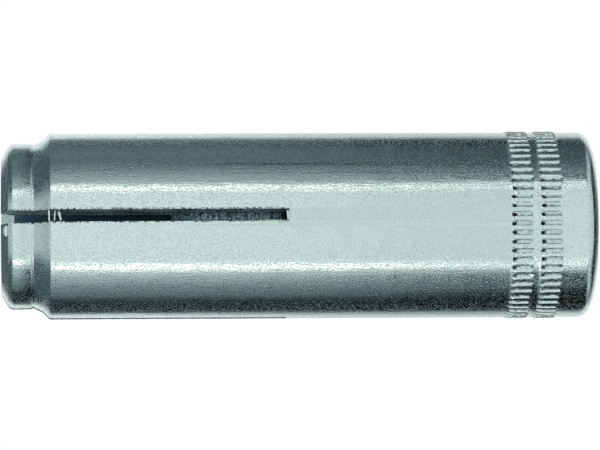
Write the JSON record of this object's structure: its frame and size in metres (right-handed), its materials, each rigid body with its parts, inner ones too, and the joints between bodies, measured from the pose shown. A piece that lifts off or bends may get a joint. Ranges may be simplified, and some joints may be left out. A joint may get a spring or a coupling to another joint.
{
  "type": "drop-in anchor",
  "caption": "Hammer-set drop-in anchor: round steel sleeve with an internal thread, knurled mouth, slotted expanding end, and an expander plug waiting inside.",
  "frame": {"origin": "centre of the mouth's end face, on the sleeve's axis", "axes": "+Z along the axis from the threaded mouth to the slotted end; X and Y each run midway between two slots"},
  "size_m": [0.0158, 0.0158, 0.05],
  "materials": {
    "zinc_plated_steel": "bright zinc plate on cold-formed steel, fine grain and faint lengthwise marks",
    "plug_steel": "duller zinc plate on turned steel"
  },
  "bodies": {
    "root": {"sleeve": "zinc_plated_steel", "expander_plug": "plug_steel"}
  },
  "joints": []
}
